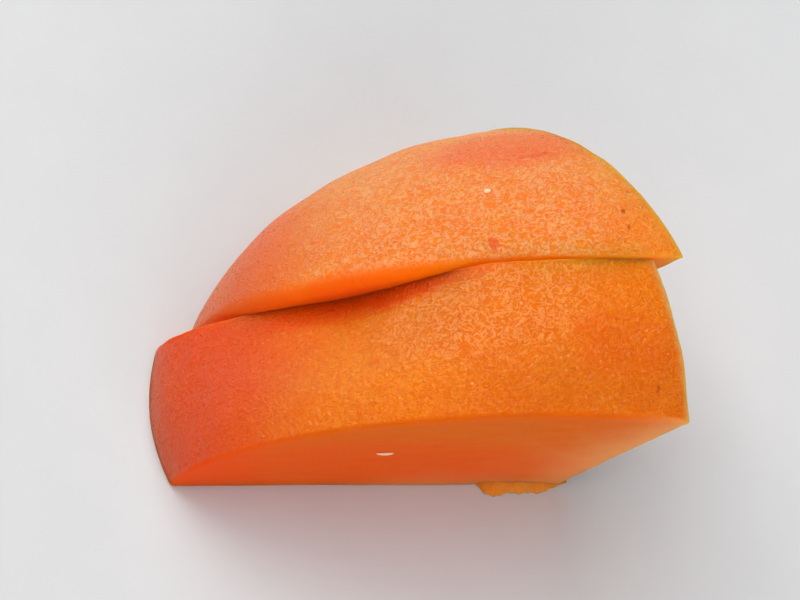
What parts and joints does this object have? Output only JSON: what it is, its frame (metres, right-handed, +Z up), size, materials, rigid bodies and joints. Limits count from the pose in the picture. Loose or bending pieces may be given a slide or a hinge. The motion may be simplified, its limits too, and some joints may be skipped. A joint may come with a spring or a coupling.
{
  "type": "apricot half",
  "caption": "Pitted apricot half lying on its cut face, sliced lengthwise with the slices still together, and trimmed at the front and at one end.",
  "frame": {"origin": "middle of the object's base, on the surface it lies on", "axes": "+X along the half's length towards the trimmed end, +Y from the front cut to the back, +Z up out of the cut face it lies on"},
  "size_m": [0.0386, 0.0304, 0.0211],
  "materials": {
    "back_slice": "satin",
    "front_slice": "satin"
  },
  "bodies": {
    "root": {"back_slice": "back_slice", "front_slice": "front_slice"}
  },
  "joints": []
}
